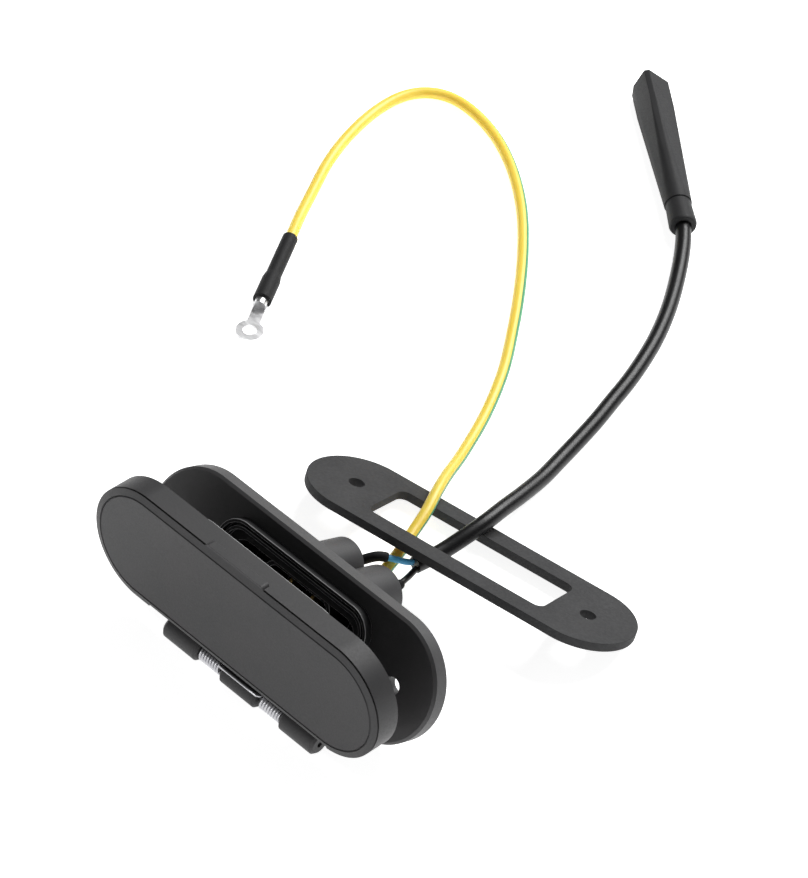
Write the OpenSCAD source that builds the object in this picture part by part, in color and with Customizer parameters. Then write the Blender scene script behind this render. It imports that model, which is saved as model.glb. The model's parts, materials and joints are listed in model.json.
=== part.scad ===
// Charge port inlet: flanged power inlet with a sprung lid, loose panel gasket, power lead and earth lead.
// Row frame: origin at the middle of the flange's back face, +X along the flange, +Z up from the table.
// Modules of the inlet are drawn in the panel frame: X along the flange, Y up the panel, Z forward out of it.

/* [Flange] */
// overall length of the flange
flange_l = 164; // [150:1:180]
// overall height of the flange
flange_w = 57; // [52:0.5:62]
// flange thickness
flange_t = 7.7; // [6:0.1:9]
// distance between the two screw holes
screw_spacing = 120.6; // [112:0.1:128]
// screw hole diameter
screw_hole_d = 8; // [5:0.1:9]
// width of the bevel round the front edge of the flange
flange_bevel = 1.2; // [0.4:0.1:2]

/* [Inlet well] */
// length of the well's mouth
well_l = 72; // [60:1:78]
// height of the well's mouth
well_w = 25; // [23:0.5:26]
// wall of the neck above and below the well
neck_wall = 1.7; // [1.2:0.1:2]
// wall of the neck at its ends
neck_end_wall = 6; // [4:0.5:7]
// depth of the neck behind the flange
neck_depth = 18; // [15:0.5:22]
// height of the ribbed collar on the flange
collar_h = 4.5; // [3:0.1:5]
// thickness of the contact carrier's plate
carrier_t = 6; // [4:0.5:8]
// depth of the socket shroud on the carrier
shroud_h = 18; // [12:0.5:20]
// length of the socket shroud
shroud_l = 38; // [34:0.5:42]
// wall of the socket shroud
shroud_wall = 2; // [1.4:0.1:2.4]
// how far the collar stands round the well's mouth along the flange
collar_rim_l = 7; // [6:0.5:9]
// how far the collar stands round the well's mouth across the flange
collar_rim_w = 8.5; // [7:0.5:10]
// length of a flat blade past the carrier
blade_l = 15; // [10:0.5:16]
// width of a flat blade
blade_w = 6.35; // [5:0.05:7]
// thickness of a flat blade
blade_t = 1.5; // [1.2:0.1:2]
// distance between the two blades
blade_pitch = 12.7; // [12:0.1:14]
// diameter of the round earth pin
earth_d = 4.8; // [4:0.1:5.5]
// distance of the earth pin from the line of the blades
earth_drop = 11.9; // [11:0.1:12.5]

/* [Rear cover] */
// depth from the flange's back face to the end of the lobes
cover_depth = 45; // [40:0.5:50]
// height of the lobes' flat underside below the middle
cover_drop = 8; // [6:0.5:9]
// radius of the small lobe
lobe_small_r = 11; // [9.5:0.5:11]
// radius of the large lobe
lobe_large_r = 12.5; // [11:0.5:13]
// wall of the rear cover
cover_wall = 2.5; // [2:0.1:3]

/* [Lid] */
// overall length of the lid
lid_l = 165.4; // [155:0.2:175]
// overall height of the lid
lid_w = 55; // [52:0.5:60]
// depth of the lid's wall
lid_depth = 12.6; // [9:0.1:14]
// wall thickness of the lid
lid_wall = 2.5; // [2:0.1:3]
// space between the flange and the closed lid's edge
lid_standoff = 10; // [9:0.1:11]
// angle at which the lid stands ajar
lid_ajar = 21.4; // [15:0.1:30]
// width of the thumb lip on the lid's upper edge
lip_w = 34; // [24:1:44]
// place of the lip's middle along the lid
lip_x = -4; // [-15:0.5:15]

/* [Hinge] */
// diameter of the hinge barrels
barrel_d = 11; // [7:0.1:11]
// diameter of the hinge pin
pin_d = 3; // [2.4:0.1:3.2]
// half width of the lid's middle knuckle
knuckle_half = 10.5; // [8:0.5:11]
// half distance between the flange's two barrels
barrel_in = 24.5; // [23:0.5:26]
// half distance over the outer ends of the barrels
barrel_out = 44.5; // [42:0.5:50]
// place of the hinge's middle along the flange
hinge_x = 5.5; // [0:0.5:8]
// gap between the barrels and the lid's lower wall
hinge_gap = 2.3; // [1:0.1:3]
// diameter of the spring wire
spring_wire = 1.4; // [1:0.1:1.6]

/* [Gasket] */
// length of the loose panel gasket
gasket_l = 164; // [150:1:180]
// width of the panel gasket
gasket_w = 50; // [46:0.5:56]
// thickness of the panel gasket
gasket_t = 4; // [3:0.1:5]
// length of the gasket's window
window_l = 90; // [86:0.5:96]
// width of the gasket's window
window_w = 29.4; // [28.6:0.1:31]
// diameter of the gasket's screw holes
gasket_hole_d = 7.2; // [5:0.1:9]

/* [Leads] */
// outside diameter of the sheathed power lead
cord_d = 7.4; // [6.5:0.1:7.4]
// outside diameter of the earth wire
earth_wire_d = 5.4; // [4.5:0.1:5.4]
// outside diameter of a core of the power lead
core_d = 2.8; // [2.2:0.1:2.8]
// outside diameter of the ring of the terminal
ring_d = 12.7; // [9.5:0.1:13]
// hole of the ring terminal
ring_hole_d = 6.4; // [4.3:0.1:6.8]
// width of the lead connector at its open end
connector_w = 16.5; // [15:0.1:18]
// height of the lead connector at its open end
connector_h = 18; // [16:0.5:20]
// length of the lead connector
connector_l = 98; // [90:1:104]

/* [Hidden] */
$fn = 48;
eps = 0.01;

// the inlet lies on its back: flange edge and rear cover both touch the table
lean = atan((flange_w / 2 - cover_drop) / cover_depth);
table_z = -flange_w / 2 * cos(lean);

// closed lid and hinge axis in the panel frame
lid_rise = 3.1;
lid_back = flange_t + lid_standoff;
lid_low = -flange_w / 2 + lid_rise;
hinge_y = lid_low - hinge_gap - barrel_d / 2;
hinge_fwd = -0.1;
hinge_z = lid_back + lid_depth / 2 + hinge_fwd;
seal_gap = 0.5;
seal_t = 3;
seal_foot = -lid_standoff + collar_h + seal_gap;

// well, neck and collar
well_r = 8;
neck_l = well_l + 2 * neck_end_wall;
neck_w = well_w + 2 * neck_wall;
collar_l = well_l + 2 * collar_rim_l;
collar_w = well_w + 2 * collar_rim_w;
collar_r = 12;
rib_t = 1.5;
carrier_z = -neck_depth + carrier_t;
shroud_play = 0.5;
shroud_w = well_w - 2 * shroud_play;
blade_y = 5;
tail = 3;
skirt_over = 1;
skirt_l = collar_l + 2 * skirt_over;
skirt_w = collar_w + 2 * skirt_over;
skirt_t = 2;

// lobes of the rear cover
small_x = -14;
large_x = 8;
small_y = neck_w / 2 - lobe_small_r;
large_y = neck_w / 2 - lobe_large_r;
cover_base = 6;

// lid edge and hinge fit
lid_bevel = 0.9;
face_inset = 3;
groove_at = lid_bevel;
groove_w = 0.8;
groove_depth = 0.6;
lip_out = 1.2;
lip_back = lid_depth - groove_at - 4;
hinge_flat = 1.1;
flat_reach = 8;
web_back = 0.8;
web_t = 7.5;
barrel_round = 1.2;
pin_recess = 1.5;
pin_play = 0.05;

// spring
coil_r = pin_d / 2 + spring_wire / 2 + 1.1;
coil_turns = 5;
bridge_r = barrel_d / 2 + spring_wire / 2 + 0.2;
bridge_at = 46;
coil_in = knuckle_half + spring_wire / 2 + 0.5;
coil_out = barrel_in - spring_wire / 2 - 0.1;

// gasket pose: far edge on the table, near bar up over the leads
gasket_tilt = 20;
gasket_yaw = 9;
gasket_x = 16.4;
gasket_y = 87;
gasket_z = table_z + gasket_w / 2 * sin(gasket_tilt) + gasket_t * cos(gasket_tilt);

// a point of the panel frame in the row frame
function in_row(p) = [p[0], p[1] * sin(lean) - p[2] * cos(lean), p[1] * cos(lean) + p[2] * sin(lean)];
// a point that turns with the lid, stated from the hinge axis in the panel frame
function on_lid(x, y, z) = [x, hinge_y + y * cos(lid_ajar) - z * sin(lid_ajar),
    hinge_z + y * sin(lid_ajar) + z * cos(lid_ajar)];
// a point stated by its height over the table
function over(x, y, h) = [x, y, table_z + h];

// routes of the leads: middle line points, heights over the table
earth_r = earth_wire_d / 2;
cord_r = cord_d / 2;
earth_start = in_row([1, 1, -cover_depth + 5]);
earth_out = in_row([1, 1, -cover_depth - 3]);
earth_route = concat([earth_start, earth_out], [
    over(-1, 54, 8.4), over(-4, 65, 9), over(-8, 77, 9.8), over(-12, 89, 11), over(-17, 100, 11.2),
    over(-23, 113, 9), over(-30, 130, 5.4), over(-42, 157, 2.8), over(-56, 183, 2.7), over(-72, 206, 2.7),
    over(-88, 227, 2.7), over(-106, 248, 2.7), over(-125, 267, 2.7), over(-146, 283, 2.7),
    over(-167, 294, 2.7), over(-187, 299, 2.7), over(-202, 298, 2.7), over(-212, 291, 2.7),
    over(-217, 279, 2.7), over(-217, 262, 2.7), over(-213, 242, 2.7), over(-206, 222, 2.7),
    over(-196, 202, 2.8), over(-187, 185, 3.6), over(-180, 173, 4.4), over(-168, 151.4, 4.6)]);
cord_route = [
    over(6, 64, 9.2), over(8, 78, 9.4), over(9.5, 93, 11.4), over(9.5, 104, 12), over(8, 116, 10.8),
    over(6, 130, 8.4), over(3, 146, 5.6), over(-0.5, 161, 4.2), over(-3.7, 176, 3.8), over(-7, 191, 3.8),
    over(-11, 206, 3.8), over(-15, 221, 3.8), over(-20, 236, 3.8), over(-26, 251, 3.8),
    over(-34, 267, 3.8), over(-43, 282, 4.2), over(-54, 298, 5.5), over(-64, 310, 6.6),
    over(-74, 318.4, 7.2)];
neutral_start = in_row([-12, 5, -cover_depth + 5]);
neutral_out = in_row([-10.5, 5.4, -cover_depth - 3]);
neutral_route = concat([neutral_start, neutral_out], [
    over(-5, 52, 14), over(0.2, 57, 13), over(3.2, 60.8, 11.2), over(4.7, 63.9, 10)]);
line_start = in_row([10, 2, -cover_depth + 5]);
line_out = in_row([10, 2, -cover_depth - 3]);
line_route = concat([line_start, line_out], [
    over(9.8, 52, 9.6), over(8.6, 58, 8.8), over(7.3, 63.5, 8.5)]);

// terminal at the end of the earth wire
term_dir = atan2(-21.6, 12);
term_x = -178.7;
term_y = 170.6;
term_h = 4.5;
term_sleeve_l = 44;
term_step = 28;
term_barrel_r = 2.9;
term_barrel_from = 26;
term_ring_at = 62.5;
plate_t = 1.2;

// lead connector
conn_dir = atan2(64, -81);
conn_x = -66;
conn_y = 312;
conn_axis = 7.1;
conn_collar_d = 13;
conn_waist_d = 12;
conn_neck_d = 13;
conn_collar_l = 15;
conn_foot = 1.8;
conn_side = connector_h - 10;
conn_shoulder = connector_h - 8;
ridge_y = 3;
ridge_w = 2.4;
rim_t = 1.4;
rim_depth = 2.5;
slot_w = 2.4;
slot_h = 4.4;
slot_y = 4.2;
slot_depth = 16;
lower_slot = connector_h / 2 - 4.4;
upper_slot = lower_slot + slot_h + 1.2;
earth_slot_y = ridge_y - 1;

// vectors and sweeps
function unit(v) = v / norm(v);
function tangent(p, i) = unit(p[min(i + 1, len(p) - 1)] - p[max(i - 1, 0)]);
function flat(n, t) = unit(n - (n * t) * t);
function normals(p, n0) = [for (i = 0, n = flat(n0, tangent(p, 0)); i < len(p);
    i = i + 1, n = i < len(p) ? flat(n, tangent(p, i)) : n) n];
function at(p, i) = p[max(0, min(len(p) - 1, i))];
function blend(a, b, c, d, s) = 0.5 * (2 * b + (c - a) * s + (2 * a - 5 * b + 4 * c - d) * s * s
    + (3 * b - a - 3 * c + d) * s * s * s);
function smooth(p, k) = concat([for (i = [0:len(p) - 2]) for (j = [0:k - 1])
    blend(at(p, i - 1), p[i], p[i + 1], at(p, i + 2), j / k)], [p[len(p) - 1]]);

module tube(p, d, sides, n0 = [0, 0, 1]) {
    ns = normals(p, n0);
    last = len(p) - 1;
    polyhedron(
        points = [for (i = [0:last]) let (t = tangent(p, i), b = cross(t, ns[i])) for (k = [0:sides - 1])
            p[i] + d / 2 * (cos(k * 360 / sides) * ns[i] + sin(k * 360 / sides) * b)],
        faces = concat(
            [[for (k = [0:sides - 1]) k]],
            [[for (k = [0:sides - 1]) last * sides + sides - 1 - k]],
            [for (i = [0:last - 1]) for (k = [0:sides - 1]) let (m = (k + 1) % sides)
                [i * sides + k, (i + 1) * sides + k, (i + 1) * sides + m, i * sides + m]]));
}

// plan shapes
module slot_plan(l, w) {
    square([l - w, w], center = true);
    for (s = [-1, 1]) translate([s * (l - w) / 2, 0]) circle(d = w, $fn = 96);
}

module round_plan(l, w, r) {
    square([l - 2 * r, w], center = true);
    square([l, w - 2 * r], center = true);
    for (a = [-1, 1], b = [-1, 1]) translate([a * (l / 2 - r), b * (w / 2 - r)]) circle(r = r);
}

module slab(l, w, z0, z1) {
    translate([0, 0, z0]) linear_extrude(z1 - z0) slot_plan(l, w);
}

module block(l, w, r, z0, z1) {
    translate([0, 0, z0]) linear_extrude(z1 - z0) round_plan(l, w, r);
}

// slab with a bevel round its front edge, b wide and h deep
module bevelled(l, w, z0, z1, b, h) {
    slab(l, w, z0, z1 - h);
    for (s = [-1, 1]) translate([s * (l - w) / 2, 0, z1 - h])
        cylinder(d1 = w, d2 = w - 2 * b, h = h, $fn = 96);
    translate([-(l - w) / 2, 0, 0]) rotate([90, 0, 90]) linear_extrude(l - w)
        polygon([[-w / 2, z1 - h], [w / 2, z1 - h], [w / 2 - b, z1], [b - w / 2, z1]]);
}

module panel() {
    rotate([90 - lean, 0, 0]) children();
}

module lid_place() {
    panel() translate([0, hinge_y, hinge_z]) rotate([lid_ajar, 0, 0])
        translate([0, -hinge_y, -hinge_z]) children();
}

module along_hinge(x0, x1, d) {
    translate([x0, hinge_y, hinge_z]) rotate([0, 90, 0]) cylinder(d = d, h = x1 - x0);
}

// hinge barrel with bevelled ends
module barrel(x0, x1) {
    small = barrel_d - 2 * barrel_round;
    along_hinge(x0 + barrel_round, x1 - barrel_round, barrel_d);
    translate([x0, hinge_y, hinge_z]) rotate([0, 90, 0])
        cylinder(d1 = small, d2 = barrel_d, h = barrel_round);
    translate([x1 - barrel_round, hinge_y, hinge_z]) rotate([0, 90, 0])
        cylinder(d1 = barrel_d, d2 = small, h = barrel_round);
}

// flange with neck, screw holes and the two hinge barrels
module barrel_arm() {
    difference() {
        union() {
            translate([barrel_in + barrel_round, 0, 0]) rotate([0, -90, 0]) mirror([0, 0, 1])
                linear_extrude(barrel_out - barrel_in - 2 * barrel_round)
                polygon([[0.6, -flange_w / 2 + 3], [0.6, -flange_w / 2], [hinge_z, hinge_y - barrel_d / 2],
                    [hinge_z, hinge_y + barrel_d / 2], [flange_t, hinge_y + barrel_d / 2],
                    [flange_t, -flange_w / 2 + 3]]);
            barrel(barrel_in, barrel_out);
        }
        along_hinge(barrel_in - 1, barrel_out + 1, pin_d);
    }
}

module flange() {
    color([0.05, 0.05, 0.055]) panel() union() {
        difference() {
            union() {
                bevelled(flange_l, flange_w, 0, flange_t, flange_bevel, flange_bevel);
                block(neck_l, neck_w, well_r + neck_wall, -neck_depth, eps);
            }
            block(well_l, well_w, well_r, -neck_depth - 1, flange_t + 1);
            for (s = [-1, 1]) translate([s * screw_spacing / 2, 0, -1])
                cylinder(d = screw_hole_d, h = flange_t + 2);
        }
        translate([hinge_x, 0, 0]) {
            barrel_arm();
            mirror([1, 0, 0]) barrel_arm();
        }
    }
}

// ribbed rubber collar round the well's mouth: base and two standing ribs
module collar_rib(inset, top) {
    difference() {
        block(collar_l - inset, collar_w - inset, collar_r - inset / 2, flange_t, flange_t + top);
        block(collar_l - inset - 2 * rib_t, collar_w - inset - 2 * rib_t, collar_r - inset / 2 - rib_t,
            flange_t - 1, flange_t + top + 1);
    }
}

module collar_seal() {
    color([0.04, 0.04, 0.045]) panel() union() {
        difference() {
            block(collar_l, collar_w, collar_r, flange_t, flange_t + 1.2);
            block(well_l, well_w, well_r, flange_t - 1, flange_t + collar_h + 1);
        }
        collar_rib(0, collar_h);
        collar_rib(4 * rib_t, collar_h - 0.8);
    }
}

// carrier at the bottom of the well with the socket shroud
module contact_carrier() {
    color([0.03, 0.03, 0.03]) panel() difference() {
        union() {
            block(well_l - 0.1, well_w - 0.1, well_r - 0.05, -neck_depth, carrier_z);
            difference() {
                block(shroud_l, shroud_w, 6, -neck_depth, carrier_z + shroud_h);
                block(shroud_l - 2 * shroud_wall, shroud_w - 2 * shroud_wall, 6 - shroud_wall,
                    carrier_z, carrier_z + shroud_h + 1);
            }
        }
        for (s = [-1, 1]) translate([s * blade_pitch / 2, blade_y, -neck_depth - 1])
            linear_extrude(carrier_t + 2) square([blade_t, blade_w], center = true);
        translate([0, blade_y - earth_drop, -neck_depth - 1]) cylinder(d = earth_d, h = carrier_t + 2);
    }
}

module blade(x) {
    reach = tail + carrier_t + blade_l;
    half = blade_w / 2;
    panel() translate([x - blade_t / 2, blade_y, -neck_depth - tail]) rotate([90, 0, 90])
        linear_extrude(blade_t)
        polygon([[-half, 0], [half, 0], [half, reach - 1], [half - 1, reach],
            [1 - half, reach], [-half, reach - 1]]);
}

module line_blade() {
    color([0.75, 0.62, 0.3]) blade(blade_pitch / 2);
}

module neutral_blade() {
    color([0.75, 0.62, 0.3]) blade(-blade_pitch / 2);
}

module earth_pin() {
    color([0.75, 0.62, 0.3]) panel() translate([0, blade_y - earth_drop, -neck_depth - tail]) {
        cylinder(d = earth_d, h = tail + carrier_t + blade_l);
        translate([0, 0, tail + carrier_t + blade_l]) cylinder(d1 = earth_d, d2 = earth_d - 2, h = 2);
    }
}

// two-lobed rear cover over the wiring space
module lobes(grow, z0, z1) {
    translate([small_x, small_y, z0]) cylinder(r = lobe_small_r + grow, h = z1 - z0);
    translate([large_x, large_y, z0]) cylinder(r = lobe_large_r + grow, h = z1 - z0);
}

module rear_cover() {
    color([0.09, 0.09, 0.095]) panel() difference() {
        union() {
            block(neck_l, neck_w, well_r + neck_wall, -neck_depth - cover_base, -neck_depth);
            difference() {
                union() {
                    lobes(0, -cover_depth + 1.5, -neck_depth - 1);
                    lobes(-1.5, -cover_depth, -neck_depth - 1);
                }
                translate([-60, -cover_drop - 30, -cover_depth - 1])
                    cube([120, 30, cover_depth - neck_depth - cover_base + 1]);
            }
        }
        block(well_l, well_w, well_r, -neck_depth - cover_base + cover_wall, -neck_depth + 1);
        difference() {
            lobes(-cover_wall, -cover_depth + 3.5, -neck_depth - 1);
            translate([-60, -cover_drop + cover_wall - 30, -cover_depth - 1]) cube([120, 30, cover_depth]);
        }
        translate([-11.6, 5, -cover_depth - 1]) cylinder(d = 5, h = 8);
        translate([1, 1, -cover_depth - 1]) cylinder(d = earth_wire_d, h = 8);
        translate([10, 2, -cover_depth - 1]) cylinder(d = core_d + 2.4, h = 8);
    }
}

// spring lid: shell with a groove behind the front edge, thumb lip, inner skirt and the middle knuckle
module lid_shift() {
    translate([0, lid_low + lid_w / 2, lid_back]) children();
}

module skirt_ring(z0, z1, wall) {
    difference() {
        block(skirt_l, skirt_w, collar_r, z0, z1);
        block(skirt_l - 2 * wall, skirt_w - 2 * wall, collar_r - wall, z0 - 1, z1 + 1);
    }
}

module lid_groove() {
    difference() {
        slab(lid_l + 4, lid_w + 4, lid_depth - groove_at - groove_w, lid_depth - groove_at);
        slab(lid_l - 2 * groove_depth, lid_w - 2 * groove_depth, 0, lid_depth);
        translate([lip_x, lid_w / 2, lid_depth / 2]) cube([lip_w, 12, lid_depth], center = true);
    }
}

module lid_knuckle() {
    translate([hinge_x, 0, 0]) difference() {
        union() {
            translate([-knuckle_half + barrel_round, hinge_y, lid_back + web_back])
                cube([2 * (knuckle_half - barrel_round), lid_low - hinge_y + lid_wall, web_t]);
            barrel(-knuckle_half, knuckle_half);
        }
        along_hinge(-knuckle_half - 1, knuckle_half + 1, pin_d + 2 * pin_play);
    }
}

module lid() {
    color([0.11, 0.11, 0.115]) lid_place() union() {
        lid_shift() difference() {
            union() {
                bevelled(lid_l, lid_w, 0, lid_depth, face_inset, lid_bevel);
                translate([lip_x, lid_w / 2 - 1, 0])
                    block(lip_w, 2 * (1 + lip_out), 2, lip_back, lid_depth - lid_bevel);
            }
            slab(lid_l - 2 * lid_wall, lid_w - 2 * lid_wall, -1, lid_depth - lid_wall);
            lid_groove();
            translate([hinge_x - barrel_out - flat_reach, -lid_w / 2 - 1, -1])
                cube([2 * (barrel_out + flat_reach), 1 + hinge_flat, lid_depth + 2]);
        }
        lid_shift() skirt_ring(seal_foot + seal_t, lid_depth - lid_wall + eps, skirt_t);
        lid_knuckle();
    }
}

module lid_seal() {
    color([0.02, 0.02, 0.02]) lid_place() lid_shift() skirt_ring(seal_foot, seal_foot + seal_t, 2 * skirt_t);
}

module hinge_pin() {
    color([0.7, 0.7, 0.72]) panel() translate([hinge_x, 0, 0])
        along_hinge(-barrel_out + pin_recess, barrel_out - pin_recess, pin_d);
}

// double torsion spring: legs on the flange, bridge across the middle knuckle
module lid_spring() {
    leg = [[-coil_out, -flange_w / 2 + 1.4, flange_t + spring_wire / 2 + 0.1],
        [-coil_out, hinge_y + coil_r, hinge_z - 2]];
    steps = 12 * coil_turns;
    turn = (360 * coil_turns + lid_ajar) / steps;
    coil = [for (i = [0:steps]) [-coil_out + (coil_out - coil_in) * i / steps,
        hinge_y + coil_r * cos(i * turn), hinge_z + coil_r * sin(i * turn)]];
    up = bridge_r * sin(bridge_at);
    front = bridge_r * cos(bridge_at);
    left = concat(leg, coil, [on_lid(-coil_in, up - 0.2, front - 1), on_lid(-coil_in + 1, up, front)]);
    n = len(left);
    path = concat(left, [for (i = [0:n - 1]) let (p = left[n - 1 - i]) [-p[0], p[1], p[2]]]);
    color([0.78, 0.78, 0.8]) panel() translate([hinge_x, 0, 0]) tube(path, spring_wire, 6, [1, 0, 0]);
}

// loose panel gasket
module panel_gasket() {
    color([0.03, 0.03, 0.03]) translate([gasket_x, gasket_y, gasket_z]) rotate([-gasket_tilt, 0, gasket_yaw])
        difference() {
            slab(gasket_l, gasket_w, -gasket_t, 0);
            block(window_l, window_w, 4, -gasket_t - 1, 1);
            for (s = [-1, 1]) translate([s * screw_spacing / 2, 0, -gasket_t - 1])
                cylinder(d = gasket_hole_d, h = gasket_t + 2);
        }
}

// leads
module neutral_core() {
    color([0.05, 0.35, 0.75]) tube(smooth(neutral_route, 3), core_d, 8);
}

module neutral_sleeve() {
    p = smooth(neutral_route, 3);
    color([0.02, 0.02, 0.02]) difference() {
        tube([for (i = [1:6]) p[i]], core_d + 1.6, 10);
        tube(p, core_d, 8);
    }
}

module line_core() {
    color([0.06, 0.05, 0.045]) tube(smooth(line_route, 3), core_d, 8);
}

module line_sleeve() {
    p = smooth(line_route, 3);
    color([0.02, 0.02, 0.02]) difference() {
        tube([for (i = [1:6]) p[i]], core_d + 1.6, 10);
        tube(p, core_d, 8);
    }
}

module earth_wire() {
    color([0.85, 0.72, 0.08]) tube(smooth(earth_route, 2), earth_wire_d, 8);
}

module power_cord() {
    color([0.02, 0.02, 0.02]) tube(smooth(cord_route, 2), cord_d, 10);
}

// crimped ring terminal with its heat-shrink sleeve
module term_place() {
    translate([term_x, term_y, table_z + term_h]) rotate([0, 0, term_dir]) children();
}

module terminal_sleeve() {
    color([0.02, 0.02, 0.02]) term_place() difference() {
        rotate([0, 90, 0]) {
            cylinder(d = earth_wire_d + 1.8, h = term_step);
            translate([0, 0, term_step - 2]) cylinder(d1 = earth_wire_d + 1.8, d2 = 8.6, h = 4);
            translate([0, 0, term_step + 2]) cylinder(d = 8.6, h = term_sleeve_l - term_step - 2);
        }
        translate([-1, 0, 0]) rotate([0, 90, 0]) cylinder(d = earth_wire_d, h = term_barrel_from);
        translate([term_barrel_from - 1, 0, 0]) rotate([0, 90, 0])
            cylinder(r = term_barrel_r, h = term_sleeve_l);
    }
}

module ring_terminal() {
    color([0.8, 0.8, 0.8]) term_place() {
        difference() {
            union() {
                translate([term_barrel_from, 0, 0]) rotate([0, 90, 0])
                    cylinder(r = term_barrel_r, h = term_sleeve_l - term_barrel_from + 4);
                translate([term_sleeve_l, -term_barrel_r, -term_barrel_r])
                    cube([term_ring_at - term_sleeve_l, 2 * term_barrel_r, plate_t]);
                translate([term_ring_at, 0, -term_barrel_r]) cylinder(d = ring_d, h = plate_t);
            }
            translate([term_ring_at, 0, -term_barrel_r - 1]) cylinder(d = ring_hole_d, h = plate_t + 2);
            translate([term_sleeve_l + 4.5, -10, -term_barrel_r + plate_t]) cube([20, 20, 10]);
        }
    }
}

// lead connector with three contact slots
module conn_place() {
    translate([conn_x, conn_y, table_z]) rotate([0, 0, conn_dir]) children();
}

module conn_face() {
    half = connector_w / 2;
    polygon([[conn_foot - half, 0], [half - conn_foot, 0], [half, conn_foot], [half, conn_side],
        [ridge_y + ridge_w / 2, connector_h - 0.5], [ridge_y - ridge_w / 2, connector_h],
        [-half, conn_shoulder], [-half, conn_foot]]);
}

module conn_slots() {
    for (p = [[slot_y, lower_slot], [-slot_y, lower_slot], [earth_slot_y, upper_slot]])
        translate([connector_l - slot_depth, p[0] - slot_w / 2, p[1]]) cube([slot_depth + 1, slot_w, slot_h]);
}

module connector_body() {
    color([0.03, 0.03, 0.03]) conn_place() difference() {
        hull() {
            translate([conn_collar_l, 0, conn_axis]) rotate([0, 90, 0])
                cylinder(d = conn_neck_d, h = 1, $fn = 32);
            translate([connector_l - slot_depth, 0, 0]) rotate([90, 0, 90])
                linear_extrude(slot_depth) conn_face();
        }
        translate([connector_l - rim_depth, 0, 0]) rotate([90, 0, 90])
            linear_extrude(rim_depth + 1) offset(delta = -rim_t) conn_face();
        conn_slots();
        translate([0, 0, conn_axis]) rotate([0, 90, 0]) cylinder(d = cord_d, h = conn_collar_l + 6);
    }
}

module connector_collar() {
    color([0.03, 0.03, 0.03]) conn_place() translate([0, 0, conn_axis]) rotate([0, 90, 0]) difference() {
        union() {
            cylinder(d1 = conn_collar_d - 1, d2 = conn_collar_d, h = 1.5);
            translate([0, 0, 1.5]) cylinder(d1 = conn_collar_d, d2 = conn_waist_d, h = conn_collar_l - 1.5);
        }
        translate([0, 0, -1]) cylinder(d = cord_d, h = conn_collar_l + 2);
    }
}

module contact(y, z) {
    leaf = 0.6;
    color([0.75, 0.62, 0.3]) conn_place() translate([connector_l - slot_depth, y - slot_w / 2, z])
        difference() {
            cube([slot_depth - 4, slot_w, slot_h]);
            translate([2, leaf, -1]) cube([slot_depth, slot_w - 2 * leaf, slot_h + 2]);
        }
}

module line_contact() {
    contact(slot_y, lower_slot);
}

module neutral_contact() {
    contact(-slot_y, lower_slot);
}

module earth_contact() {
    contact(earth_slot_y, upper_slot);
}

flange();
collar_seal();
contact_carrier();
line_blade();
neutral_blade();
earth_pin();
rear_cover();
lid();
lid_seal();
hinge_pin();
lid_spring();
panel_gasket();
neutral_core();
neutral_sleeve();
line_core();
line_sleeve();
earth_wire();
terminal_sleeve();
ring_terminal();
power_cord();
connector_collar();
connector_body();
line_contact();
neutral_contact();
earth_contact();
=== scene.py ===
import json
import math

import bmesh
import bpy
from mathutils import Matrix, Vector


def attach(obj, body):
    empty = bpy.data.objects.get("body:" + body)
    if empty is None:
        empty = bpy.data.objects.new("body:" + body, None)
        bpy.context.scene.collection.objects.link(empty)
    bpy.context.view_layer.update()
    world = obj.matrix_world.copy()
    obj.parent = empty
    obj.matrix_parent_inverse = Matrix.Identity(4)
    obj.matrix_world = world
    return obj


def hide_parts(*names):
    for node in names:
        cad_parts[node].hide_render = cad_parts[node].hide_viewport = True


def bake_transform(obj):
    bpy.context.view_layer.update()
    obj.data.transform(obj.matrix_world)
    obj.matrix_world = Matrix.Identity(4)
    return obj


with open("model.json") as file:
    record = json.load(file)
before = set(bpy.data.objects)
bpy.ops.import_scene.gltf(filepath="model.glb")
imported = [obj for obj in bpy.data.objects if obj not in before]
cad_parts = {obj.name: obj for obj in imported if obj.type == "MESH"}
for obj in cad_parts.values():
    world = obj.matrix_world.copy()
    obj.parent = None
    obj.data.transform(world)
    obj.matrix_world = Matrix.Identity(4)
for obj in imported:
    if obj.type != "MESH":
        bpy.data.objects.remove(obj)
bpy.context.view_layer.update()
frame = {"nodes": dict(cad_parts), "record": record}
nodes = frame["nodes"]
scene = bpy.context.scene
MM = 0.001

# sizes of the solids that the swept pieces follow, in millimetres, with angles in radians
FLANGE_W = 57.0
FLANGE_T = 7.7
COVER_DROP = 8.0
COVER_DEPTH = 45.0
LID_STANDOFF = 10.0
LID_DEPTH = 12.6
LID_RISE = 3.1
LID_AJAR = math.radians(21.4)
HINGE_GAP = 2.3
HINGE_FWD = -0.1
HINGE_X = 5.5
BARREL_D = 11.0
BARREL_IN = 24.5
PIN_D = 3.0
KNUCKLE_HALF = 10.5
SPRING_WIRE = 1.4
CORD_D = 7.4
EARTH_D = 5.4
CORE_D = 2.8
SLEEVE_WALL = 0.8

LEAN = math.atan((FLANGE_W / 2 - COVER_DROP) / COVER_DEPTH)
TABLE = -FLANGE_W / 2 * math.cos(LEAN)
HINGE_Y = -FLANGE_W / 2 + LID_RISE - HINGE_GAP - BARREL_D / 2
HINGE_Z = FLANGE_T + LID_STANDOFF + LID_DEPTH / 2 + HINGE_FWD


def in_row(x, y, z):
    """A point of the inlet's panel frame in the row frame, in millimetres."""
    return Vector((x, y * math.sin(LEAN) - z * math.cos(LEAN), y * math.cos(LEAN) + z * math.sin(LEAN)))


def over(x, y, h):
    """A point by its height over the table, in millimetres."""
    return Vector((x, y, TABLE + h))


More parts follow.
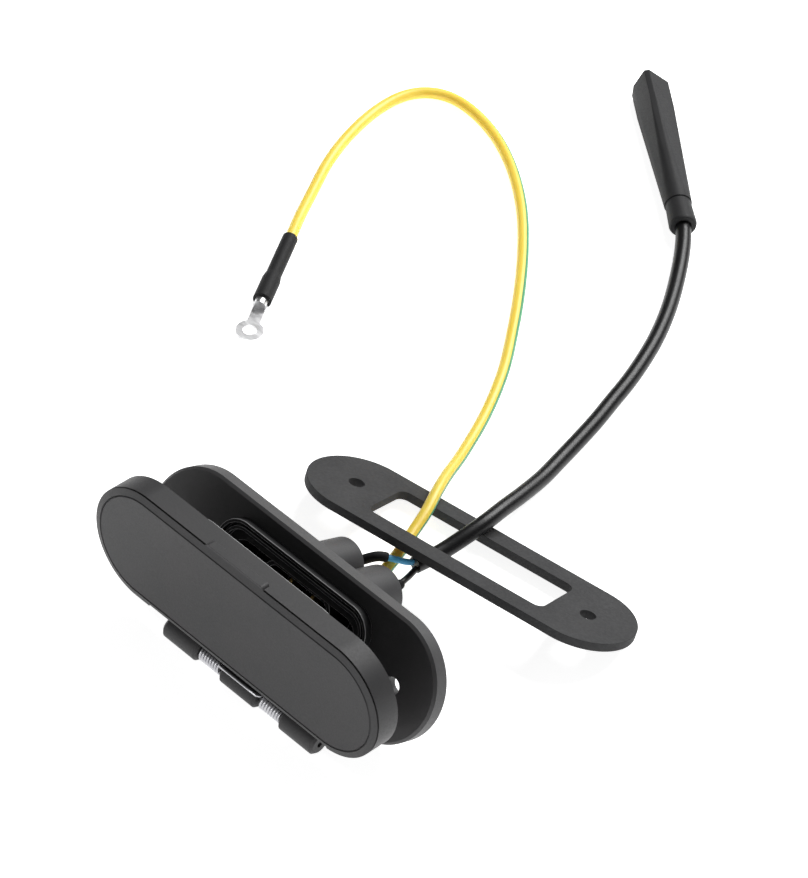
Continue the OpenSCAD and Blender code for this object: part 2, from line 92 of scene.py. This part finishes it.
# camera at the photograph's viewing angle
SENSOR_MM = 36.0
LENS_MM = 205.01
CLIP_END = 20.0
CAMERA_PLACE = Matrix((
    (0.7074, -0.5353, 0.4616, 0.9509),
    (0.7021, 0.4567, -0.5463, -1.0709),
    (0.0816, 0.7105, 0.6989, 1.4997),
    (0.0, 0.0, 0.0, 1.0)))

cam_data = bpy.data.cameras.new("camera")
cam_data.sensor_width = SENSOR_MM
cam_data.lens = LENS_MM
cam_data.clip_end = CLIP_END
cam_data.dof.use_dof = False
camera = bpy.data.objects.new("camera", cam_data)
scene.collection.objects.link(camera)
camera.matrix_world = CAMERA_PLACE
scene.camera = camera

# materials: noise scales are per metre, bump depths in metres
BLACK = (0.0, 0.0, 0.0, 1.0)
WHITE = (1.0, 1.0, 1.0, 1.0)
NOISE_LOW = 0.3
NOISE_HIGH = 0.7
MIX_FACTOR = 0
MIX_COLOURS = (6, 7)
MIX_RESULT = 2


def srgb(r, g, b):
    """A colour given as 0 to 255 on screen, as linear values."""
    def linear(c):
        c /= 255.0
        return c / 12.92 if c <= 0.04045 else ((c + 0.055) / 1.055) ** 2.4
    return (linear(r), linear(g), linear(b), 1.0)


def fill(node, values):
    """Sets a node's sockets by their names."""
    for name, value in values.items():
        node.inputs[name].default_value = value


class Shade:
    """A node material round one principled shader."""

    def __init__(self, name, roughness, metallic=0.0, specular=0.5):
        self.mat = bpy.data.materials.new(name)
        self.mat.use_nodes = True
        self.tree = self.mat.node_tree
        self.bsdf = self.tree.nodes["Principled BSDF"]
        fill(self.bsdf, {"Roughness": roughness, "Metallic": metallic, "Specular IOR Level": specular})
        self.coord = self.add("ShaderNodeTexCoord")

    def add(self, kind, **values):
        node = self.tree.nodes.new(kind)
        for key, value in values.items():
            setattr(node, key, value)
        return node

    def link(self, a, b):
        self.tree.links.new(a, b)

    def noise(self, scale, detail=3.0, rough=0.55, stretch=None):
        tex = self.add("ShaderNodeTexNoise")
        fill(tex, {"Scale": scale, "Detail": detail, "Roughness": rough})
        out = self.coord.outputs["Object"]
        if stretch:
            mapping = self.add("ShaderNodeMapping")
            fill(mapping, {"Scale": stretch})
            self.link(out, mapping.inputs["Vector"])
            out = mapping.outputs["Vector"]
        self.link(out, tex.inputs["Vector"])
        return tex.outputs["Fac"]

    def ramp(self, value, stops):
        node = self.add("ShaderNodeValToRGB")
        elements = node.color_ramp.elements
        while len(elements) < len(stops):
            elements.new(0.5)
        for element, (at, colour) in zip(elements, stops):
            element.position = at
            element.color = colour
        self.link(value, node.inputs["Fac"])
        return node.outputs["Color"]

    def mix(self, fac, base, top):
        """The base socket's colour, covered by the top colour where fac is 1."""
        node = self.add("ShaderNodeMix", data_type="RGBA")
        under, cover = (node.inputs[i] for i in MIX_COLOURS)
        self.link(fac, node.inputs[MIX_FACTOR])
        self.link(base, under)
        cover.default_value = top
        return node.outputs[MIX_RESULT]

    def spread(self, value, low, high):
        """A noise value stretched over a range."""
        node = self.add("ShaderNodeMapRange")
        fill(node, {"From Min": NOISE_LOW, "From Max": NOISE_HIGH, "To Min": low, "To Max": high})
        self.link(value, node.inputs["Value"])
        return node.outputs["Result"]

    def bump(self, value, depth, strength):
        node = self.add("ShaderNodeBump")
        fill(node, {"Strength": strength, "Distance": depth})
        self.link(value, node.inputs["Height"])
        self.link(node.outputs["Normal"], self.bsdf.inputs["Normal"])

    def colour(self, socket):
        self.link(socket, self.bsdf.inputs["Base Color"])

    def rough(self, socket):
        self.link(socket, self.bsdf.inputs["Roughness"])


MOULD_CLOUD = 45.0
MOULD_GRAIN = 1400.0
MOULD_DEPTH = 0.00006
MOULD_LOW = 0.32
MOULD_HIGH = 0.68


def moulded(name, low, high, rough, grain=MOULD_GRAIN, depth=MOULD_DEPTH, specular=0.4, edge=None):
    """Moulded plastic or rubber: fine grain, cloudy tone, uneven gloss and, if an edge colour is given, paler
    rounded edges as a painted highlight.
    """
    shade = Shade(name, rough, specular=specular)
    cloud = shade.noise(MOULD_CLOUD, detail=4.0)
    fine = shade.noise(grain, detail=2.0, rough=0.6)
    base = shade.ramp(cloud, [(MOULD_LOW, low), (MOULD_HIGH, high)])
    # a paler colour on the rounded edges: a painted highlight where they would catch the light
    if edge:
        painted_highlight = shade.add("ShaderNodeAttribute", attribute_name="painted_highlight")
        base = shade.mix(painted_highlight.outputs["Fac"], base, edge)
    shade.colour(base)
    shade.rough(shade.spread(fine, rough - 0.06, rough + 0.08))
    shade.bump(fine, depth, strength=0.6)
    return shade.mat


STREAK_SCALE = 500.0
STREAK_DEPTH = 0.000006


def metal(name, low, high, rough, stretch):
    """Drawn or pressed metal: fine streaks in tone and gloss."""
    shade = Shade(name, rough, metallic=1.0)
    streak = shade.noise(STREAK_SCALE, detail=2.0, stretch=stretch)
    shade.colour(shade.ramp(streak, [(NOISE_LOW, low), (NOISE_HIGH, high)]))
    shade.rough(shade.spread(streak, rough - 0.04, rough + 0.06))
    shade.bump(streak, STREAK_DEPTH, strength=0.2)
    return shade.mat


INSULATION_CLOUD = 60.0
INSULATION_GRAIN = 1600.0
INSULATION_DEPTH = 0.00003
INSULATION_ROUGH = 0.38
SCATTER_WEIGHT = 0.6
SCATTER_REACH = 0.003
# the stripe's middle, half width and soft edge, in turns round the wire
STRIPE_AT = 0.215
STRIPE_HALF = 0.13
STRIPE_SOFT = 0.012
# metres along the wire, and the part of a turn by which its stripe has drifted round it there
STRIPE_DRIFT = ((0.07, 0.1), (0.21, 0.0), (0.33, 0.0), (0.4, 0.12))


def striped(name, low, high, stripe):
    """Insulation with a stripe, placed by the tube's own coordinates: turns round it and metres along it."""
    shade = Shade(name, INSULATION_ROUGH, specular=0.45)
    fill(shade.bsdf, {"Subsurface Weight": SCATTER_WEIGHT, "Subsurface Radius": (1.0, 1.0, 1.0),
                      "Subsurface Scale": SCATTER_REACH})
    split = shade.add("ShaderNodeSeparateXYZ")
    shade.link(shade.coord.outputs["UV"], split.inputs["Vector"])
    drift = shade.ramp(split.outputs["Y"], [(along, (turn, turn, turn, 1.0)) for along, turn in STRIPE_DRIFT])
    place = shade.add("ShaderNodeMath", operation="SUBTRACT")
    shade.link(split.outputs["X"], place.inputs[0])
    shade.link(drift, place.inputs[1])
    start = STRIPE_AT - STRIPE_HALF
    end = STRIPE_AT + STRIPE_HALF
    band = shade.ramp(place.outputs["Value"], [
        (start - STRIPE_SOFT, BLACK), (start, WHITE), (end, WHITE), (end + STRIPE_SOFT, BLACK)])
    cloud = shade.noise(INSULATION_CLOUD, detail=4.0)
    base = shade.ramp(cloud, [(NOISE_LOW, low), (NOISE_HIGH, high)])
    fine = shade.noise(INSULATION_GRAIN, detail=2.0)
    shade.colour(shade.mix(band, base, stripe))
    shade.rough(shade.spread(fine, INSULATION_ROUGH - 0.06, INSULATION_ROUGH + 0.08))
    shade.bump(fine, INSULATION_DEPTH, strength=0.5)
    return shade.mat


MATERIALS = {
    "flange_plastic": moulded("flange_plastic", srgb(61, 61, 62), srgb(67, 66, 67), 0.5),
    "lid_plastic": moulded("lid_plastic", srgb(56, 56, 57), srgb(60, 59, 60), 0.5, specular=0.3),
    # the edge colours of the black plastic and the black rubber are painted highlights on their rounded edges
    "black_plastic": moulded("black_plastic", srgb(38, 38, 39), srgb(44, 44, 45), 0.48,
                             edge=srgb(190, 190, 191)),
    "black_rubber": moulded("black_rubber", srgb(38, 38, 39), srgb(44, 44, 45), 0.45, depth=0.000012,
                            edge=srgb(160, 160, 161)),
    "gasket_foam": moulded("gasket_foam", srgb(52, 52, 53), srgb(60, 60, 61), 0.8, grain=700.0,
                           depth=0.00012),
    "contact_brass": metal("contact_brass", srgb(196, 160, 92), srgb(222, 188, 118), 0.3,
                           stretch=(1.0, 0.15, 1.0)),
    "bright_steel": metal("bright_steel", srgb(186, 186, 190), srgb(212, 212, 215), 0.26,
                          stretch=(0.15, 1.0, 1.0)),
    "tinned_terminal": metal("tinned_terminal", srgb(210, 210, 211), srgb(230, 230, 231), 0.34,
                             stretch=(0.4, 1.0, 1.0)),
    "blue_insulation": moulded("blue_insulation", srgb(92, 192, 250), srgb(104, 202, 252), INSULATION_ROUGH,
                               depth=INSULATION_DEPTH),
    "dark_insulation": moulded("dark_insulation", srgb(40, 37, 34), srgb(50, 46, 42), INSULATION_ROUGH,
                               depth=INSULATION_DEPTH),
    "yellow_insulation": striped("yellow_insulation", srgb(248, 216, 82), srgb(250, 222, 96),
                                 stripe=srgb(74, 156, 112)),
    "black_sleeve": moulded("black_sleeve", srgb(30, 30, 31), srgb(37, 37, 38), 0.62, depth=0.00004,
                            specular=0.2),
    "black_sheath": moulded("black_sheath", srgb(16, 16, 17), srgb(22, 22, 23), 0.34, depth=0.00003,
                            specular=0.28),
    "connector_rubber": moulded("connector_rubber", srgb(36, 36, 37), srgb(43, 43, 44), 0.58,
                                specular=0.22),
}
SLOT = {part["node"]: part["material_slot"] for part in frame["record"]["subparts"]}
BODY = {node: "lid" if node in ("lid", "lid_seal") else "inlet" for node in nodes}


def settle(obj, node):
    """Gives a piece its node's body, slot and material, in the node's place."""
    obj.data.materials.clear()
    obj.data.materials.append(MATERIALS[SLOT[node]])
    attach(obj, BODY[node])
    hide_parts(node)
    return obj


# sweeps
TUBE_SHARP = math.radians(50)


def smooth(route, per):
    """Catmull-Rom points through a route, per points to each span."""
    def at(i):
        return route[max(0, min(len(route) - 1, i))]
    line = []
    for i in range(len(route) - 1):
        a, b, c, d = at(i - 1), at(i), at(i + 1), at(i + 2)
        for j in range(per):
            s = j / per
            line.append(0.5 * (2 * b + (c - a) * s + (2 * a - 5 * b + 4 * c - d) * s * s
                               + (3 * b - a - 3 * c + d) * s ** 3))
    return line + [route[-1]]


def metres(points):
    return [p * MM for p in points]


def sweep(name, points, radii, sides=24, bore=0.0, first=Vector((0, 0, 1))):
    """A tube along points in metres, with a radius at each, closed at its ends or with a bore through it.

    Its map holds turns round the tube, from the direction first, and metres along it."""
    last = len(points) - 1
    normal = first
    bm = bmesh.new()
    uv = bm.loops.layers.uv.new("UVMap")
    angles = [math.tau * k / sides for k in range(sides)]
    outer, inner, along, gone = [], [], [], 0.0
    for i, p in enumerate(points):
        tangent = (points[min(i + 1, last)] - points[max(i - 1, 0)]).normalized()
        normal = (normal - normal.dot(tangent) * tangent).normalized()
        side = tangent.cross(normal)
        gone += (p - points[max(i - 1, 0)]).length
        along.append(gone)
        spokes = [math.cos(t) * normal + math.sin(t) * side for t in angles]
        outer.append([bm.verts.new(p + radii[i] * spoke) for spoke in spokes])
        if bore:
            inner.append([bm.verts.new(p + bore * spoke) for spoke in spokes])

    def skin(rows, flip):
        for i in range(last):
            for k in range(sides):
                m = (k + 1) % sides
                corners = [(i, k, k), (i, m, k + 1), (i + 1, m, k + 1), (i + 1, k, k)]
                if flip:
                    corners.reverse()
                face = bm.faces.new([rows[r][c] for r, c, _ in corners])
                face.smooth = True
                for loop, (r, _, u) in zip(face.loops, corners):
                    loop[uv].uv = (u / sides, along[r])

    skin(outer, False)
    if bore:
        skin(inner, True)
        for row, flip in ((0, True), (last, False)):
            for k in range(sides):
                m = (k + 1) % sides
                ring = [outer[row][k], outer[row][m], inner[row][m], inner[row][k]]
                bm.faces.new(ring[::-1] if flip else ring)
    else:
        bm.faces.new(outer[0][::-1])
        bm.faces.new(outer[last])
    bmesh.ops.recalc_face_normals(bm, faces=bm.faces)
    mesh = bpy.data.meshes.new(name)
    bm.to_mesh(mesh)
    bm.free()
    mesh.set_sharp_from_angle(angle=TUBE_SHARP)
    obj = bpy.data.objects.new(name, mesh)
    scene.collection.objects.link(obj)
    return obj


def wire(name, line, diameter, **form):
    """A sweep of one diameter, given in millimetres."""
    return sweep(name, line, [diameter / 2 * MM] * len(line), **form)


# routes of the leads, which start inside the rear cover's end face and leave it straight
LEAD_STEPS = 6
LEAD_IN = -COVER_DEPTH + 5
LEAD_OUT = -COVER_DEPTH - 3
EARTH_ROUTE = [in_row(1, 1, LEAD_IN), in_row(1, 1, LEAD_OUT)] + [over(*p) for p in (
    (-1, 54, 8.4), (-4, 65, 9), (-8, 77, 9.8), (-12, 89, 11), (-17, 100, 11.2), (-23, 113, 9),
    (-30, 130, 5.4), (-42, 157, 2.8), (-56, 183, 2.7), (-72, 206, 2.7), (-88, 227, 2.7), (-106, 248, 2.7),
    (-125, 267, 2.7), (-146, 283, 2.7), (-167, 294, 2.7), (-187, 299, 2.7), (-202, 298, 2.7),
    (-212, 291, 2.7), (-217, 279, 2.7), (-217, 262, 2.7), (-213, 242, 2.7), (-206, 222, 2.7),
    (-196, 202, 2.8), (-187, 185, 3.6), (-180, 173, 4.4), (-168, 151.4, 4.6))]
CORD_ROUTE = [over(*p) for p in (
    (6, 64, 9.2), (8, 78, 9.4), (9.5, 93, 11.4), (9.5, 104, 12), (8, 116, 10.8), (6, 130, 8.4), (3, 146, 5.6),
    (-0.5, 161, 4.2), (-3.7, 176, 3.8), (-7, 191, 3.8), (-11, 206, 3.8), (-15, 221, 3.8), (-20, 236, 3.8),
    (-26, 251, 3.8), (-34, 267, 3.8), (-43, 282, 4.2), (-54, 298, 5.5), (-64, 310, 6.6), (-74, 318.4, 7.2))]
NEUTRAL_ROUTE = [in_row(-12, 5, LEAD_IN), in_row(-10.5, 5.4, LEAD_OUT)] + [over(*p) for p in (
    (-5, 52, 14), (0.2, 57, 13), (3.2, 60.8, 11.2), (4.7, 63.9, 10))]
LINE_ROUTE = [in_row(10, 2, LEAD_IN), in_row(10, 2, LEAD_OUT)] + [over(*p) for p in (
    (9.8, 52, 9.6), (8.6, 58, 8.8), (7.3, 63.5, 8.5))]

earth_line = metres(smooth(EARTH_ROUTE, LEAD_STEPS))
earth = settle(wire("earth_lead", earth_line, EARTH_D), "earth_wire")
cord_line = metres(smooth(CORD_ROUTE, LEAD_STEPS))
cord = settle(wire("power_lead", cord_line, CORD_D), "power_cord")

# rigid pieces: copies of the solids with softened edges
LID_FRONT = in_row(0, -math.sin(LID_AJAR), math.cos(LID_AJAR))
FACING = 0.999
SEAM_W = 0.45 * MM
SEAM_DEPTH = 0.6 * MM
SHARP = math.radians(35)
FLAT = math.radians(1.0)
WELD = 1e-6
EDGE_SEGMENTS = 2
FACE_WEIGHT = 100
# width of the softened edges of each node, in millimetres
EDGES = {
    "flange": 0.5, "collar_seal": 0.25, "contact_carrier": 0.25, "rear_cover": 0.6, "lid": 0.5,
    "lid_seal": 0.4, "panel_gasket": 0.25, "connector_body": 0.5, "connector_collar": 0.4,
    "terminal_sleeve": 0.3, "ring_terminal": 0.15, "line_blade": 0.15, "neutral_blade": 0.15,
    "earth_pin": 0.3, "hinge_pin": 0.2, "line_contact": 0.1, "neutral_contact": 0.1, "earth_contact": 0.1,
}


def cut_seam(bm):
    """A fine seam between the lid's rim and its flat face."""
    faces = [f for f in bm.faces if f.normal.dot(LID_FRONT) > FACING]
    face = max(faces, key=lambda f: f.calc_center_median().dot(LID_FRONT) + f.calc_area())
    for depth in (-SEAM_DEPTH, SEAM_DEPTH):
        walls = bmesh.ops.inset_individual(bm, faces=[face], thickness=SEAM_W, depth=depth)["faces"]
        for edge in [edge for wall in walls for edge in wall.edges]:
            if edge.calc_face_angle() > SHARP:
                edge.smooth = False


def softened(node, width):
    """A copy of a node's solid with its sharp edges rounded off and marked for a painted highlight."""
    mesh = nodes[node].data.copy()
    mesh.name = node + "_skin"
    bm = bmesh.new()
    bm.from_mesh(mesh)
    bmesh.ops.remove_doubles(bm, verts=bm.verts, dist=WELD)
    bmesh.ops.dissolve_limit(bm, angle_limit=FLAT, verts=bm.verts, edges=bm.edges)
    # the faces of the rounded edges are marked, to carry a painted highlight
    painted_highlight = bm.faces.layers.float.new("painted_highlight")
    edges = [edge for edge in bm.edges if edge.is_manifold and edge.calc_face_angle() > SHARP]
    made = bmesh.ops.bevel(bm, geom=edges, offset=width * MM, offset_type="OFFSET", segments=EDGE_SEGMENTS,
                           profile=0.5, affect="EDGES", clamp_overlap=True)
    for face in made["faces"]:
        face[painted_highlight] = 1.0
    for edge in bm.edges:
        edge.smooth = True
    for face in bm.faces:
        face.smooth = True
    if node == "lid":
        cut_seam(bm)
    bm.to_mesh(mesh)
    bm.free()
    obj = bpy.data.objects.new(node + "_skin", mesh)
    scene.collection.objects.link(obj)
    shading = obj.modifiers.new("flat_faces", "WEIGHTED_NORMAL")
    shading.keep_sharp = True
    shading.weight = FACE_WEIGHT
    return settle(obj, node)


skins = {node: softened(node, width) for node, width in EDGES.items()}

# cores and their sleeves, with places along them counted in steps
CORE_STEPS = 12
CORE_SIDES = 16
SLEEVE_SIDES = 20
SLEEVE_START = 4
SLEEVE_END = {"neutral": 32, "line": 25}
# the share of a sleeve's wall that is left at its first and second step from either end
END_WALL = (0.55, 0.9)


def sleeve_radius(step, count):
    """Outside radius in metres at a step of a sleeve, which tapers at both ends."""
    from_end = min(step, count - 1 - step)
    share = END_WALL[from_end] if from_end < len(END_WALL) else 1.0
    return (CORE_D / 2 + SLEEVE_WALL * share) * MM


for name, route in (("neutral", NEUTRAL_ROUTE), ("line", LINE_ROUTE)):
    line = metres(smooth(route, CORE_STEPS))
    settle(wire(name + "_wire", line, CORE_D, sides=CORE_SIDES), name + "_core")
    cover = line[SLEEVE_START:SLEEVE_END[name]]
    radii = [sleeve_radius(step, len(cover)) for step in range(len(cover))]
    settle(sweep(name + "_shrink", cover, radii, sides=SLEEVE_SIDES, bore=CORE_D / 2 * MM), name + "_sleeve")

# double torsion spring, in two halves that wind up with the lid, in millimetres
COIL_PLAY = 1.1
BRIDGE_PLAY = 0.2
KNUCKLE_PLAY = 0.5
BARREL_PLAY = 0.1
FOOT_PLAY = 0.1
FOOT_UP = 1.4
LEG_BACK = 2.0
BEND_RUN = 1.0
BEND_DROP = 0.2
COIL_R = PIN_D / 2 + SPRING_WIRE / 2 + COIL_PLAY
COIL_IN = KNUCKLE_HALF + SPRING_WIRE / 2 + KNUCKLE_PLAY
COIL_OUT = BARREL_IN - SPRING_WIRE / 2 - BARREL_PLAY
COIL_TURNS = 8
COIL_STEPS = 24 * COIL_TURNS
COIL_STEP = (math.tau * COIL_TURNS + LID_AJAR) / COIL_STEPS
BRIDGE_R = BARREL_D / 2 + SPRING_WIRE / 2 + BRIDGE_PLAY
BRIDGE_AT = math.radians(46)
BRIDGE_UP = BRIDGE_R * math.sin(BRIDGE_AT)
BRIDGE_FRONT = BRIDGE_R * math.cos(BRIDGE_AT)
SPRING_SIDES = 12


def on_lid(x, y, z):
    """A point that turns with the lid, stated from the hinge axis, in the panel frame."""
    c, s = math.cos(LID_AJAR), math.sin(LID_AJAR)
    return (x, HINGE_Y + y * c - z * s, HINGE_Z + y * s + z * c)


def coil_point(i):
    """A point of the left coil in the panel frame, counted from its outer end."""
    return (-COIL_OUT + (COIL_OUT - COIL_IN) * i / COIL_STEPS,
            HINGE_Y + COIL_R * math.cos(i * COIL_STEP),
            HINGE_Z + COIL_R * math.sin(i * COIL_STEP))


leg = [(-COIL_OUT, -FLANGE_W / 2 + FOOT_UP, FLANGE_T + SPRING_WIRE / 2 + FOOT_PLAY),
       (-COIL_OUT, HINGE_Y + COIL_R, HINGE_Z - LEG_BACK)]
coil = [coil_point(i) for i in range(COIL_STEPS + 1)]
bridge = [on_lid(-COIL_IN, BRIDGE_UP - BEND_DROP, BRIDGE_FRONT - BEND_RUN),
          on_lid(-COIL_IN + BEND_RUN, BRIDGE_UP, BRIDGE_FRONT),
          on_lid(-COIL_IN / 2, BRIDGE_UP, BRIDGE_FRONT),
          on_lid(0, BRIDGE_UP, BRIDGE_FRONT)]
for side, sign in (("left", 1), ("right", -1)):
    line = metres([in_row(HINGE_X + sign * x, y, z) for x, y, z in leg + coil + bridge])
    half = wire("spring_" + side, line, SPRING_WIRE, sides=SPRING_SIDES, first=Vector((1, 0, 0)))
    half.data.materials.append(MATERIALS["bright_steel"])
    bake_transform(half)
    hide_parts("lid_spring")

# floor and light, in metres and watts
FLOOR_REACH = 6.0
FLOOR_Z = TABLE * MM - 0.0002
FLOOR_GLOW = 0.85
FLOOR_CLOUD = 30.0
FLOOR_LOW = (0.9, 0.9, 0.9, 1.0)
FLOOR_HIGH = (0.93, 0.93, 0.93, 1.0)
WORLD_LIGHT = 0.13

floor_mesh = bpy.data.meshes.new("floor")
corners = ((-1, -1), (1, -1), (1, 1), (-1, 1))
floor_mesh.from_pydata([(x * FLOOR_REACH, y * FLOOR_REACH, FLOOR_Z) for x, y in corners], [], [(0, 1, 2, 3)])
floor = bpy.data.objects.new("floor", floor_mesh)
scene.collection.objects.link(floor)
paper = Shade("floor_paper", 0.9, specular=0.1)
paper.colour(paper.ramp(paper.noise(FLOOR_CLOUD), [(NOISE_LOW, FLOOR_LOW), (NOISE_HIGH, FLOOR_HIGH)]))
fill(paper.bsdf, {"Emission Color": WHITE, "Emission Strength": FLOOR_GLOW})
floor_mesh.materials.append(paper.mat)

world = bpy.data.worlds.new("studio")
world.use_nodes = True
fill(world.node_tree.nodes["Background"], {"Color": WHITE, "Strength": WORLD_LIGHT})
scene.world = world


def softbox(name, at, aim, size, power):
    light = bpy.data.lights.new(name, "AREA")
    light.shape = "RECTANGLE"
    light.size = size[0]
    light.size_y = size[1]
    light.energy = power
    lamp = bpy.data.objects.new(name, light)
    scene.collection.objects.link(lamp)
    lamp.location = at
    lamp.rotation_euler = (Vector(aim) - Vector(at)).to_track_quat("-Z", "Y").to_euler()


softbox("back", at=(-0.15, 1.5, 1.35), aim=(-0.05, 0.15, 0.0), size=(1.3, 1.0), power=50.0)
softbox("front", at=(0.1, -1.7, 0.55), aim=(0.0, 0.0, 0.0), size=(0.9, 0.5), power=6.0)

scene.view_settings.view_transform = "Standard"
